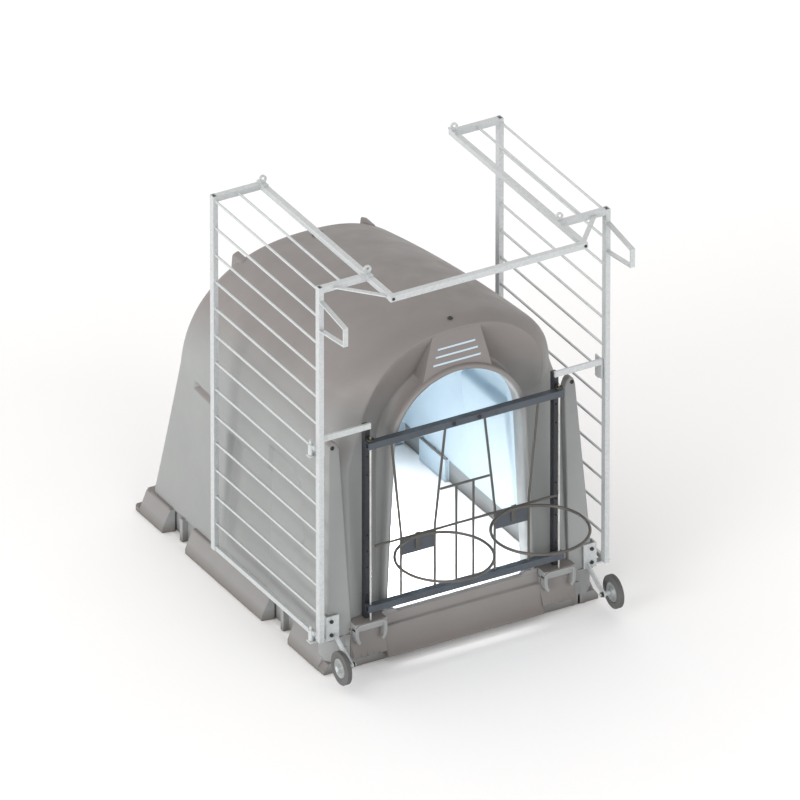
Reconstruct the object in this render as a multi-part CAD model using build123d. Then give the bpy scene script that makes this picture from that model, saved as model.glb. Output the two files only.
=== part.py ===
"""Calf hutch with a fenced lifting cage, a swinging feed gate, two bucket rings and transport wheels.

Millimetres. X runs across the front, Y from the front (-) to the back (+), Z up from the ground.
The origin is on the ground, in the middle of the whole object's box.
"""
from build123d import *
import math
import os

os.makedirs("parts", exist_ok=True)

# Overall plan. Every depth below is counted from POST_Y, the plane of the front fence posts.
HALF_LENGTH = 950.0
RING_REACH = 417.5                        # bucket rings in front of the post plane
POST_Y = -HALF_LENGTH + RING_REACH
BASE_FRONT = POST_Y + 12.0
BASE_REAR = HALF_LENGTH
BASE_HALF_WIDTH = 600.0

# Hutch shell
WALL = 8.0
VAULT_FOOT = 130.0                        # where the vault stands on the plinth
VAULT_EXPONENT = 2.3                      # a little squarer than an ellipse
# depth from POST_Y, half width at the spring, spring height, crown height, half width at the foot
VAULT_SECTIONS = [
    (-60.0, 536.0, 790.0, 1350.0, 562.0),
    (600.0, 524.0, 755.0, 1300.0, 560.0),
    (1100.0, 508.0, 715.0, 1205.0, 558.0),
    (1560.0, 494.0, 680.0, 1090.0, 556.0),
]
FRONT_LEAN = [(18.0, 0.0), (152.0, 1400.0)]       # depth from POST_Y at two heights
REAR_LEAN = [(1472.0, 0.0), (1200.0, 1400.0)]
FRONT_BEVEL_Z = 1300.0                    # above these heights the end walls slope back into the roof
REAR_BEVEL_Z = 1130.0
BEVEL_RISE = 400.0
PLINTH_HALF_WIDTH = 568.0
PLINTH_HEIGHT = 140.0
PLINTH_THICK = 36.0
FLANGE_HEIGHT = 34.0
CORNER_CHAMFER = 42.0
RECESS_DEPTH = 28.0
SIDE_RECESSES = [(290.0, 490.0), (1085.0, 1263.0)]
TOOTH_HALF = 11.0                         # upright rib left standing in the middle of each recess
REAR_NOTCH = (250.0, 380.0)               # notches in the back flange, measured from the middle
DOOR_RADIUS = 275.0
DOOR_SPRING = 868.0
DOOR_FOOT_HALF = 310.0
DOOR_SILL = 200.0
DOOR_RIM = 34.0
PORTAL_FRONT = 30.0
VENT_FRONT = 48.0
# half width and height of the raised panel above the door, from the bottom up
VENT_OUTLINE = [(151.0, 1120.0), (151.0, 1138.0), (102.0, 1304.0)]
VENT_SLOTS = [(82.0, 1249.0), (92.0, 1218.0), (103.0, 1186.0)]
VENT_SLOT_HEIGHT = 12.0
PILLAR_TOP = 955.0
PILLAR_THICK = 14.0
PILLAR_ROUND = 22.0
# x at the foot and below the rounded top, outer edge and inner edge
PILLAR_OUTER = (580.0, 542.0)
PILLAR_INNER = (470.0, 484.0)
ROOF_PLUG_DEPTH = 1120.0
ROOF_PLUG_Z = 1209.0
ROOF_HOLE_R = 14.0

# Sill beam across the front, as (depth from POST_Y, height) corners ahead of its flat back
BEAM_HALF = 340.0
BEAM_END_HALF = 478.0
BEAM_BACK = 48.0
PLATFORM_INNER = 342.0
PLATFORM_TOP = 200.0
BEAM_FRONT = [(26.0, PLATFORM_TOP), (22.0, 152.0), (0.0, 148.0), (-14.0, 60.0), (-28.0, 26.0)]
BEAM_END_FRONT = [(14.0, 190.0), (3.0, 120.0), (-22.0, 52.0)]
PLATFORM_FRONT = [(-24.0, PLATFORM_TOP), (-24.0, 186.0), (3.0, 120.0)]

# Gate posts and feed gate
ROD_X = 409.0
GATE_Y = POST_Y - 13.0
ROD_R = 4.0
ROD_FIT = 0.1                             # clearance of a rod in its socket
ROD_SLIP = 0.3                            # clearance of a rod in the gate rails
ROD_SOCKET_Z = 166.0
HINGE_ROD_DROP = 33.0                     # the hinge rod stands this deep in its platform
ROD_HEAD = 9.0                            # rod ends above the middle of their eye bolts
GATE_POST_SIZE = (20.0, 27.0)
GATE_POST_Y = POST_Y + 23.0
GATE_POST_TOP = 1030.0
GATE_POST_HOLES = (300, 420, 490, 560, 820, 900)
GATE_POST_HOLE_R = 3.5
CAP_THICK = 4.0
CAP_PLUG = 14.0
ARM_BOTTOM = 1022.0
ARM_TOP = 1046.0
BRACKET_X = 600.0
RAIL_HALF = 424.6
RAIL_SIZE = 28.0
TOP_RAIL_Z = 962.0
BOTTOM_RAIL_Z = 256.0
BAR_R = 5.0
LONG_BAR_Z = 525.5
LONG_BAR_Y = GATE_Y - 2 * BAR_R
SHORT_BAR_Z = 687.0
BAR_KINK_Z = 540.0
OUTER_BAR = (318.0, 277.0)                # x at the top rail, x below the kink
INNER_BAR = (85.0, 130.0)
CENTRE_BAR_X = 37.0
PLATE_TOP = 516.0
PLATE_BOTTOM = 446.0
EYE_BOLT_Z = 985.0
EYE_BOLT_R = 12.0
EYE_BOLT_WIRE_R = 4.0
LONG_BAR_HALF = 395.0
SHORT_BAR_HALF = 106.0
PLATE_THICK = 4.0

# Bucket rings
RING_X = 208.0
RING_R = 188.0
RING_ROD_R = 6.0
RING_Y = POST_Y - RING_REACH + RING_R + RING_ROD_R
STRAP_R = 9.0
STRAP_HALF = 9.0
STRAP_LEG = 5.0

# Cage
FENCE_X = 620.0
FENCE_REAR = POST_Y + 813.0
FENCE_POST = (20.0, 28.0)
FENCE_BOTTOM = 162.0
FENCE_TOP = 1695.0
FENCE_ROD_R = 5.0
FENCE_ROD_PITCH = 116.5
FENCE_ROD_COUNT = 13
ARM_SIZE = 24.0
LONG_X = 415.0
LONG_SIZE = 22.0
LONG_FRONT = POST_Y - 178.0
CROSS_BAR_THICK = 22.0
LADDER_X = 520.0
TUBE_WALL = 2.5
EYE_R = 16.0
EYE_HOLE_R = 9.0
EYE_THICK = 8.0
BOW_REACH = 200.0
PIN_X = 640.0
PIN_Y = POST_Y + 36.0
PIN_R = 6.0
UPPER_PIN_Z = 960.0
LOWER_PIN_Z = 156.0
PIN_TALL = 62.0
SOCKET_R = 10.0
SOCKET_TALL = 46.0
BRACKET_THICK = 6.0
BOLT_ZS = (170.0, 228.0)

# Wheels
WHEEL_X = 591.5
WHEEL_Y = POST_Y - 114.0
WHEEL_Z = 95.5
WHEEL_R = 67.5
WHEEL_WIDTH = 24.0
AXLE_R = 6.0
RIM_R = 40.0
WHEEL_ARM_X = 548.0
WHEEL_ARM_HALF_WIDTH = 13.0
FAR = 700.0                               # beyond every side of the object, for cutting

SIDES = (("left", -1), ("right", 1))


def save(name, shape):
    export_step(shape, f"parts/{name}.step")


def group(pieces):
    return Compound(children=list(pieces))


def both_sides(make):
    """The left and right copies of a piece as one group of separate solids."""
    return group(make(side) for _, side in SIDES)


def block(x_ends, y_ends, z_ends):
    """A box between two limits on each axis, given in either order."""
    sizes = [abs(ends[1] - ends[0]) for ends in (x_ends, y_ends, z_ends)]
    middles = [(ends[0] + ends[1]) / 2 for ends in (x_ends, y_ends, z_ends)]
    return Pos(*middles) * Box(*sizes)


def rod(start, end, radius):
    """A round bar between two points."""
    start, end = Vector(*start), Vector(*end)
    return Solid.make_cylinder(radius, (end - start).length, Plane(origin=start, z_dir=end - start))


def bent_rod(points, radius):
    """Round bar through several points, with a ball at each bend."""
    bar = rod(points[0], points[1], radius)
    for start, end in zip(points[1:-1], points[2:]):
        bar += Pos(*start) * Sphere(radius) + rod(start, end, radius)
    return bar


def square_tube(axis, x_ends, y_ends, z_ends):
    """A rectangular tube along X, Y or Z with open ends."""
    limits = [x_ends, y_ends, z_ends]
    bore = [
        ends if name == axis else (min(ends) + TUBE_WALL, max(ends) - TUBE_WALL)
        for name, ends in zip("XYZ", limits)
    ]
    return block(*limits) - block(*bore)


def side_prism(points, x_ends):
    """An outline of (y, z) points extruded between two x values."""
    outline = Face(Wire.make_polygon([Vector(min(x_ends), y, z) for y, z in points], close=True))
    return Solid.extrude(outline, Vector(abs(x_ends[1] - x_ends[0]), 0, 0))


def front_prism(points, y_ends):
    """An outline of (x, z) points extruded between two y values."""
    outline = Face(Wire.make_polygon([Vector(x, min(y_ends), z) for x, z in points], close=True))
    return Solid.extrude(outline, Vector(0, abs(y_ends[1] - y_ends[0]), 0))


def lean_y(line, height):
    """Depth of a leaning wall, given by two (depth, height) points, at one height."""
    (y0, z0), (y1, z1) = line
    return POST_Y + y0 + (y1 - y0) * (height - z0) / (z1 - z0)


# ---------------------------------------------------------------- hutch shell
def vault_section(depth, half, spring, crown, foot, inset, bottom):
    """One closed cross-section of the vault: two leaning walls and a rounded arch."""
    y = POST_Y + depth
    half, crown, foot = half - inset, crown - inset, foot - inset
    arch = []
    steps = 16
    for step in range(steps + 1):
        angle = math.pi * step / steps
        x = half * math.copysign(abs(math.cos(angle)) ** (2 / VAULT_EXPONENT), math.cos(angle))
        z = spring + (crown - spring) * math.sin(angle) ** (2 / VAULT_EXPONENT)
        arch.append(Vector(x, y, z))
    rise = spring - VAULT_FOOT
    up, down = Vector(half - foot, 0, rise).normalized(), Vector(half - foot, 0, -rise).normalized()
    foot_right, foot_left = Vector(foot, y, bottom), Vector(-foot, y, bottom)
    edges = [
        Edge.make_line(foot_right, arch[0]),
        Edge.make_spline(arch, tangents=(up, down)),
        Edge.make_line(arch[-1], foot_left),
        Edge.make_line(foot_left, foot_right),
    ]
    return Wire(edges)


def vault(inset, bottom):
    """The vault as a solid, set in from the outside by inset and cut off by the leaning end walls."""
    solid = Solid.make_loft([vault_section(*section, inset, bottom) for section in VAULT_SECTIONS])
    front_bevel, rear_bevel = FRONT_BEVEL_Z - inset, REAR_BEVEL_Z - inset
    ends = side_prism(
        [
            (lean_y(FRONT_LEAN, 0) + inset, 0),
            (lean_y(REAR_LEAN, 0) - inset, 0),
            (lean_y(REAR_LEAN, rear_bevel) - inset, rear_bevel),
            (lean_y(REAR_LEAN, rear_bevel) - inset - 2 * BEVEL_RISE, rear_bevel + BEVEL_RISE),
            (lean_y(FRONT_LEAN, front_bevel) + inset + 2 * BEVEL_RISE, front_bevel + BEVEL_RISE),
            (lean_y(FRONT_LEAN, front_bevel) + inset, front_bevel),
        ],
        (-FAR, FAR),
    )
    return solid & ends


def door_shape(grow, y_ends):
    """The arched doorway as a solid, larger all round by grow."""
    radius = DOOR_RADIUS + grow
    foot = DOOR_FOOT_HALF + grow
    sill = DOOR_SILL if grow == 0 else VAULT_FOOT
    y = min(y_ends)
    start, end = Vector(radius, y, DOOR_SPRING), Vector(-radius, y, DOOR_SPRING)
    edges = [
        Edge.make_three_point_arc(start, Vector(0, y, DOOR_SPRING + radius), end),
        Edge.make_line(end, Vector(-foot, y, sill)),
        Edge.make_line(Vector(-foot, y, sill), Vector(foot, y, sill)),
        Edge.make_line(Vector(foot, y, sill), start),
    ]
    return Solid.extrude(Face(Wire(edges)), Vector(0, abs(y_ends[1] - y_ends[0]), 0))


def vent_panel(inside):
    """The raised panel above the door."""
    right = [(half, z) for half, z in VENT_OUTLINE]
    left = [(-half, z) for half, z in reversed(VENT_OUTLINE)]
    return front_prism(right + left, (POST_Y + VENT_FRONT, POST_Y + 190)) - inside


def vent_slots():
    """Slots through the raised panel, longer towards the bottom."""
    rise = VENT_SLOT_HEIGHT / 2
    return [block((-half, half), (POST_Y, POST_Y + 200), (z - rise, z + rise)) for half, z in VENT_SLOTS]


def pillar(side):
    """A flat leaning strip with a rounded top at one side of the front wall."""
    shoulder = PILLAR_TOP - PILLAR_ROUND
    outer, inner = PILLAR_OUTER, PILLAR_INNER
    strip = front_prism(
        [
            (side * inner[0], VAULT_FOOT),
            (side * outer[0], VAULT_FOOT),
            (side * outer[1], shoulder),
            (side * (outer[1] - 14), PILLAR_TOP),
            (side * (inner[1] + 16), PILLAR_TOP),
            (side * inner[1], shoulder),
        ],
        (POST_Y - 100, POST_Y + 300),
    )
    low, high = VAULT_FOOT - 10, PILLAR_TOP + 10
    slab = side_prism(
        [
            (lean_y(FRONT_LEAN, low) - PILLAR_THICK, low),
            (lean_y(FRONT_LEAN, low) + WALL, low),
            (lean_y(FRONT_LEAN, high) + WALL, high),
            (lean_y(FRONT_LEAN, high) - PILLAR_THICK, high),
        ],
        (-FAR, FAR),
    )
    return strip & slab


def ring_block(half_width, y_ends, z_ends, thick, chamfer):
    """A rectangular frame lying on the ground with its corners cut off."""
    x, (y0, y1) = half_width, y_ends
    outline = [
        (x - chamfer, y0), (x, y0 + chamfer), (x, y1 - chamfer), (x - chamfer, y1),
        (chamfer - x, y1), (-x, y1 - chamfer), (-x, y0 + chamfer), (chamfer - x, y0),
    ]
    face = Face(Wire.make_polygon([Vector(px, py, z_ends[0]) for px, py in outline], close=True))
    frame = Solid.extrude(face, Vector(0, 0, z_ends[1] - z_ends[0]))
    return frame - block((thick - x, x - thick), (y0 + thick, y1 - thick), (z_ends[0] - 1, z_ends[1] + 1))


def plinth():
    """The upright band round the foot of the hutch, with an outward flange and its notches."""
    set_in = BASE_HALF_WIDTH - PLINTH_HALF_WIDTH
    band = ring_block(
        PLINTH_HALF_WIDTH, (BASE_FRONT, BASE_REAR - set_in), (0, PLINTH_HEIGHT), PLINTH_THICK, CORNER_CHAMFER
    )
    band += ring_block(
        BASE_HALF_WIDTH, (BASE_FRONT, BASE_REAR), (0, FLANGE_HEIGHT), set_in + PLINTH_THICK, CORNER_CHAMFER
    )
    for _, side in SIDES:
        recess_wall = PLINTH_HALF_WIDTH - RECESS_DEPTH
        for near, far in SIDE_RECESSES:
            y_ends = (POST_Y + near, POST_Y + far)
            middle = sum(y_ends) / 2
            band -= block((side * recess_wall, side * FAR), y_ends, (-1, PLINTH_HEIGHT + 1))
            band += block(
                (side * (recess_wall - 1), side * PLINTH_HALF_WIDTH),
                (middle - TOOTH_HALF, middle + TOOTH_HALF),
                (0, PLINTH_HEIGHT),
            )
        notch = (side * REAR_NOTCH[0], side * REAR_NOTCH[1])
        band -= block(notch, (BASE_REAR - RECESS_DEPTH, BASE_REAR + 50), (-1, FLANGE_HEIGHT + 1))
    return band - block((-BEAM_END_HALF, BEAM_END_HALF), (BASE_FRONT - 50, BASE_FRONT + 60), (-1, 52))


def beam_part(front, x_ends):
    """One stretch of the sill beam, from its front corners (top to bottom) back to its flat back."""
    top, bottom = front[0][1], front[-1][1]
    outline = [(POST_Y + depth, z) for depth, z in front]
    return side_prism(outline + [(POST_Y + BEAM_BACK, bottom), (POST_Y + BEAM_BACK, top)], x_ends)


def front_beam():
    """The sill beam across the front, deeper in the middle, with a platform under each gate post."""
    beam = beam_part(BEAM_FRONT, (-BEAM_HALF, BEAM_HALF))
    for _, side in SIDES:
        beam += beam_part(BEAM_END_FRONT, (side * BEAM_HALF, side * (BEAM_END_HALF + 6)))
        beam += beam_part(PLATFORM_FRONT, (side * PLATFORM_INNER, side * BEAM_END_HALF))
    return beam


def rod_socket(side):
    """Hole in a platform for the foot of a gate rod."""
    x = side * ROD_X
    return rod((x, GATE_Y, ROD_SOCKET_Z), (x, GATE_Y, PLATFORM_TOP + 1), ROD_R + ROD_FIT)


def hutch_base():
    """The foot of the hutch: plinth band, flange and sill beam."""
    base = plinth() + front_beam() - door_shape(0, (POST_Y - 60, POST_Y + 300))
    for _, side in SIDES:
        base -= rod_socket(side)
    return base


def hutch_shell(base):
    """The moulded body of the hutch, standing on its base."""
    inside = vault(WALL, VAULT_FOOT - 5)
    shell = vault(0, VAULT_FOOT) - inside
    shell += door_shape(DOOR_RIM, (POST_Y + PORTAL_FRONT, POST_Y + 260)) - inside
    shell += vent_panel(inside)
    for _, side in SIDES:
        shell += pillar(side) - inside
    shell -= door_shape(0, (POST_Y - 60, POST_Y + 300))
    for slot in vent_slots():
        shell -= slot
    plug_y = POST_Y + ROOF_PLUG_DEPTH
    shell -= rod((0, plug_y, ROOF_PLUG_Z - 100), (0, plug_y, ROOF_PLUG_Z + 100), ROOF_HOLE_R)
    return shell - base


def roof_plug():
    """A push-in plug that closes the vent hole near the back of the roof."""
    y, z = POST_Y + ROOF_PLUG_DEPTH, ROOF_PLUG_Z
    return rod((0, y, z - 30), (0, y, z), ROOF_HOLE_R - 0.5) + rod((0, y, z), (0, y, z + 7), ROOF_HOLE_R + 8)


# ---------------------------------------------------------------- gate posts and brackets
def gate_post(side):
    half_x, half_y = GATE_POST_SIZE[0] / 2, GATE_POST_SIZE[1] / 2
    x = side * ROD_X
    post = square_tube(
        "Z",
        (x - half_x, x + half_x),
        (GATE_POST_Y - half_y, GATE_POST_Y + half_y),
        (PLATFORM_TOP, GATE_POST_TOP),
    )
    holes = [(z, GATE_POST_HOLE_R) for z in GATE_POST_HOLES] + [(EYE_BOLT_Z, EYE_BOLT_WIRE_R + 0.1)]
    for z, radius in holes:
        post -= rod((x, GATE_POST_Y - 20, z), (x, GATE_POST_Y + 20, z), radius)
    return post


def post_cap(side):
    """Plastic cap pushed into the top of a gate post."""
    half_x, half_y = GATE_POST_SIZE[0] / 2, GATE_POST_SIZE[1] / 2
    x, y = side * ROD_X, GATE_POST_Y
    top = GATE_POST_TOP
    cap = block((x - half_x, x + half_x), (y - half_y, y + half_y), (top, top + CAP_THICK))
    half_x, half_y = half_x - TUBE_WALL, half_y - TUBE_WALL
    return cap + block((x - half_x, x + half_x), (y - half_y, y + half_y), (top - CAP_PLUG, top))


def eye_bolt(side):
    """An eye that holds the top of a gate rod, on a shank through the gate post."""
    x, z = side * ROD_X, EYE_BOLT_Z
    post_back = GATE_POST_Y + GATE_POST_SIZE[1] / 2
    eye = Pos(x, GATE_Y, z) * Torus(EYE_BOLT_R, EYE_BOLT_WIRE_R)
    shank = rod((x, GATE_Y + EYE_BOLT_R + 2, z), (x, post_back + 12.5, z), EYE_BOLT_WIRE_R)
    nut = Plane(origin=(x, post_back, z), z_dir=(0, 1, 0)) * extrude(RegularPolygon(7.5, 6), 6)
    return eye + shank + nut


def top_arm(side):
    """Flat bar from the top of a gate post to the fence, with a lug that carries the upper pin."""
    post_front = GATE_POST_Y - GATE_POST_SIZE[1] / 2
    return block((side * (ROD_X - 10), side * BRACKET_X), (POST_Y, post_front), (ARM_BOTTOM, ARM_TOP))


def upper_bracket(side):
    """The angle at the end of the top arm, with a shelf for the upper pin."""
    shelf = block(
        (side * BRACKET_X, side * (PIN_X + 12)),
        (POST_Y + 22, PIN_Y + 12),
        (UPPER_PIN_Z - BRACKET_THICK, UPPER_PIN_Z),
    )
    web_x = (side * BRACKET_X, side * (BRACKET_X + BRACKET_THICK))
    return shelf + block(web_x, (POST_Y, PIN_Y + 12), (UPPER_PIN_Z, ARM_TOP))


def lower_bracket(side):
    """Galvanised angle on the corner of the hutch, with a shelf for the lower pin."""
    outer = 588
    face = (POST_Y + 10, POST_Y + 10 + BRACKET_THICK)
    web_x = (side * (outer - BRACKET_THICK), side * outer)
    plate = block((side * 532, side * outer), face, (LOWER_PIN_Z - 10, 250))
    web = block(web_x, (face[0], PIN_Y + 12), (LOWER_PIN_Z, 250))
    shelf = block(
        (web_x[0], side * (PIN_X + 12)),
        (POST_Y + 18, PIN_Y + 12),
        (LOWER_PIN_Z - BRACKET_THICK, LOWER_PIN_Z),
    )
    return plate + web + shelf


def cage_pin(side, z):
    """Upright pin that a fence post hangs on."""
    return rod((side * PIN_X, PIN_Y, z), (side * PIN_X, PIN_Y, z + PIN_TALL), PIN_R)


def bracket_bolt(side, z):
    """Hexagon bolt head on the face of a lower bracket."""
    face_y = POST_Y + 10
    return Plane(origin=(side * 566, face_y, z), z_dir=(0, -1, 0)) * extrude(RegularPolygon(8, 6), 6)


def wheel_arm(side):
    """Flat bar from the lower bracket forward and down to the wheel axle."""
    back, tip = Vector(POST_Y + 22, 168), Vector(WHEEL_Y, WHEEL_Z)
    run = tip - back
    across = Vector(-run.Y, run.X).normalized() * WHEEL_ARM_HALF_WIDTH
    corners = [back + across, back - across, tip - across, tip + across]
    x_ends = (side * (WHEEL_ARM_X - 3), side * (WHEEL_ARM_X + 3))
    arm = side_prism([(corner.X, corner.Y) for corner in corners], x_ends)
    arm += axle_rod(*x_ends, WHEEL_ARM_HALF_WIDTH)
    behind_bracket = block((side * 500, side * 600), (POST_Y + 10, POST_Y + 60), (50, 260))
    return arm - behind_bracket - axle_rod(side * 500, side * 600, AXLE_R)


def axle_rod(x0, x1, radius):
    """A cylinder on a wheel's axis between two x values."""
    return rod((x0, WHEEL_Y, WHEEL_Z), (x1, WHEEL_Y, WHEEL_Z), radius)


def wheel_axle(side):
    """Axle bolt with its head outside the wheel."""
    outer = side * (WHEEL_X + WHEEL_WIDTH / 2 + 4)
    return axle_rod(side * (WHEEL_ARM_X - 17), outer, AXLE_R) + axle_rod(outer, outer + side * 5, 11)


def axle_nut(side):
    x = side * (WHEEL_ARM_X - 3)
    nut = Plane(origin=(x, WHEEL_Y, WHEEL_Z), z_dir=(-side, 0, 0)) * extrude(RegularPolygon(11, 6), 9)
    return nut - axle_rod(side * 500, side * 600, AXLE_R)


def axle_spacer(side):
    """Tube that keeps the wheel off its arm."""
    ends = (side * (WHEEL_ARM_X + 3), side * (WHEEL_X - WHEEL_WIDTH / 2 - 4.5))
    return axle_rod(*ends, 9) - axle_rod(*ends, AXLE_R)


def wheel_tyre(side):
    """Solid rubber tyre with rounded shoulders."""
    ends = side * (WHEEL_X - WHEEL_WIDTH / 2), side * (WHEEL_X + WHEEL_WIDTH / 2)
    tyre = axle_rod(*ends, WHEEL_R)
    shoulders = [edge for edge in tyre.edges() if edge.geom_type == GeomType.CIRCLE]
    return tyre.fillet(8, shoulders) - axle_rod(*ends, RIM_R)


def wheel_hub(side):
    """Rim disc with a longer nose that runs on the axle bolt."""
    half, centre = WHEEL_WIDTH / 2, side * WHEEL_X
    rim = axle_rod(centre - half + 3, centre + half - 3, RIM_R)
    nose = axle_rod(centre - half - 3.5, centre + half + 3.5, 15)
    return rim + nose - axle_rod(centre - 40, centre + 40, AXLE_R + 0.06)


# ---------------------------------------------------------------- feed gate
def gate_rail(height):
    half = RAIL_SIZE / 2
    rail = square_tube(
        "X", (-RAIL_HALF, RAIL_HALF), (GATE_Y - half, GATE_Y + half), (height - half, height + half)
    )
    for _, side in SIDES:
        x = side * ROD_X
        rail -= rod((x, GATE_Y, height - 30), (x, GATE_Y, height + 30), ROD_R + ROD_SLIP)
    return rail


def kinked_bars(top_x, low_x):
    """A pair of mirror-image bars that slope down from the top rail, then drop straight."""
    top, low = TOP_RAIL_Z - RAIL_SIZE / 2, BOTTOM_RAIL_Z + RAIL_SIZE / 2
    return group(
        bent_rod(
            [(side * top_x, GATE_Y, top), (side * low_x, GATE_Y, BAR_KINK_Z), (side * low_x, GATE_Y, low)],
            BAR_R,
        )
        & block((-500, 500), (GATE_Y - 50, GATE_Y + 50), (low, top))
        for _, side in SIDES
    )


def centre_bars():
    low = BOTTOM_RAIL_Z + RAIL_SIZE / 2
    return group(
        rod((side * CENTRE_BAR_X, GATE_Y, low), (side * CENTRE_BAR_X, GATE_Y, SHORT_BAR_Z - BAR_R), BAR_R)
        for _, side in SIDES
    )


def cross_rod(half, y, z):
    """A round bar across the gate, centred on X = 0."""
    return rod((-half, y, z), (half, y, z), BAR_R)


def bucket_plate(side):
    """Sheet plate behind a bucket ring, between the two bars of one head gap."""
    return block(
        (side * (INNER_BAR[1] + BAR_R), side * (OUTER_BAR[1] - BAR_R)),
        (GATE_Y - PLATE_THICK / 2, GATE_Y + PLATE_THICK / 2),
        (PLATE_BOTTOM, PLATE_TOP),
    )


def gate_rod(side, drop):
    """Steel rod through both rails and the eye bolt. Drop lowers its foot into the platform."""
    x = side * ROD_X
    foot, head = PLATFORM_TOP + 3 - drop, EYE_BOLT_Z + ROD_HEAD
    return rod((x, GATE_Y, foot), (x, GATE_Y, head), ROD_R)


# ---------------------------------------------------------------- bucket rings
def bucket_ring(side):
    return Pos(side * RING_X, RING_Y, LONG_BAR_Z) * Torus(RING_R, RING_ROD_R)


def ring_hook(side):
    """Strap that turns on the long gate bar, with a leg that leans on the plate behind it."""
    x_ends = side * (RING_X - STRAP_HALF), side * (RING_X + STRAP_HALF)
    ring_back = RING_Y + RING_R
    plate_front = GATE_Y - PLATE_THICK / 2 - 0.3
    half_tall = RING_ROD_R
    strap = rod((x_ends[0], LONG_BAR_Y, LONG_BAR_Z), (x_ends[1], LONG_BAR_Y, LONG_BAR_Z), STRAP_R)
    strap += block(x_ends, (ring_back + 2, LONG_BAR_Y), (LONG_BAR_Z - half_tall, LONG_BAR_Z + half_tall))
    leg_z = (PLATE_BOTTOM + 18, LONG_BAR_Z - half_tall)
    strap += block(x_ends, (plate_front - STRAP_LEG, plate_front), leg_z)
    bore_ends = x_ends[0] - side, x_ends[1] + side
    bore = rod((bore_ends[0], LONG_BAR_Y, LONG_BAR_Z), (bore_ends[1], LONG_BAR_Y, LONG_BAR_Z), BAR_R + 0.08)
    return strap - bore - bucket_ring(side)


# ---------------------------------------------------------------- cage
def fence_post(side, y):
    half_x, half_y = FENCE_POST[0] / 2, FENCE_POST[1] / 2
    x = side * FENCE_X
    return square_tube("Z", (x - half_x, x + half_x), (y - half_y, y + half_y), (FENCE_BOTTOM, FENCE_TOP))


def cage_socket(side, z):
    """Short tube on the back of a front post that slips over a bracket pin."""
    x = side * PIN_X
    tube = rod((x, PIN_Y, z + 0.5), (x, PIN_Y, z + SOCKET_TALL), SOCKET_R)
    tube += block((side * (FENCE_X + 2), x), (POST_Y + FENCE_POST[1] / 2 - 1, PIN_Y), (z + 28, z + 44))
    return tube - rod((x, PIN_Y, z), (x, PIN_Y, z + 50), PIN_R + 0.3)


def fence_front_post(side):
    """Front fence post with its two sockets."""
    return fence_post(side, POST_Y) + cage_socket(side, LOWER_PIN_Z) + cage_socket(side, UPPER_PIN_Z)


def fence_rods(side):
    """The horizontal rods of one side panel."""
    x = side * FENCE_X
    y0, y1 = POST_Y + FENCE_POST[1] / 2, FENCE_REAR - FENCE_POST[1] / 2
    heights = [FENCE_BOTTOM + step * FENCE_ROD_PITCH for step in range(1, FENCE_ROD_COUNT + 1)]
    return group(rod((x, y0, z), (x, y1, z), FENCE_ROD_R) for z in heights)


def fence_foot_rail(side):
    x = side * FENCE_X
    return block(
        (x - 6, x + 6),
        (POST_Y + FENCE_POST[1] / 2, FENCE_REAR - FENCE_POST[1] / 2),
        (FENCE_BOTTOM, FENCE_BOTTOM + 20),
    )


def roof_arm(side, y):
    """Cross tube from the top of a fence post in to the long member."""
    half = ARM_SIZE / 2
    return square_tube(
        "X",
        (side * (FENCE_X - FENCE_POST[0] / 2), side * (LONG_X + LONG_SIZE / 2)),
        (y - half, y + half),
        (FENCE_TOP - ARM_SIZE, FENCE_TOP),
    )


def long_member(side):
    """Fore-and-aft tube that carries the lifting eyes and runs on to the cross bar."""
    x, half = side * LONG_X, LONG_SIZE / 2
    return square_tube(
        "Y", (x - half, x + half), (LONG_FRONT, FENCE_REAR + ARM_SIZE / 2), (FENCE_TOP - LONG_SIZE, FENCE_TOP)
    )


def ladder_rod(side):
    x, z = side * LADDER_X, FENCE_TOP - ARM_SIZE / 2
    return rod((x, POST_Y + ARM_SIZE / 2, z), (x, FENCE_REAR - ARM_SIZE / 2, z), FENCE_ROD_R)


def corner_brace(side):
    """Flat diagonal from the front arm to the front end of the long member."""
    outer = Vector(side * 560, POST_Y - ARM_SIZE / 2, 0)
    inner = Vector(side * (LONG_X + LONG_SIZE / 2), POST_Y - 165, 0)
    along = (inner - outer).normalized()
    across = Vector(-along.Y, along.X, 0) * 9
    corners = [outer + across, outer - across, inner - across, inner + across]
    z = FENCE_TOP - 14
    face = Face(Wire.make_polygon([Vector(p.X, p.Y, z) for p in corners], close=True))
    brace = Solid.extrude(face, Vector(0, 0, 5))
    keep = block(
        (side * (LONG_X + LONG_SIZE / 2), side * FAR),
        (POST_Y - 400, POST_Y - ARM_SIZE / 2),
        (FENCE_TOP - 50, FENCE_TOP),
    )
    return brace & keep


def lifting_eye(side, y):
    """Upright eye on a small gusset plate at the end of a roof arm."""
    x = side * LONG_X
    z = FENCE_TOP + 6 + EYE_R - 2
    eye = rod((x, y - EYE_THICK / 2, z), (x, y + EYE_THICK / 2, z), EYE_R)
    eye += block((x - 12, x + 12), (y - EYE_THICK / 2, y + EYE_THICK / 2), (FENCE_TOP + 4, z))
    eye += block((x - LONG_SIZE / 2, x + LONG_SIZE / 2), (y - 28, y + 28), (FENCE_TOP, FENCE_TOP + 5))
    return eye - rod((x, y - 20, z), (x, y + 20, z), EYE_HOLE_R)


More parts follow.
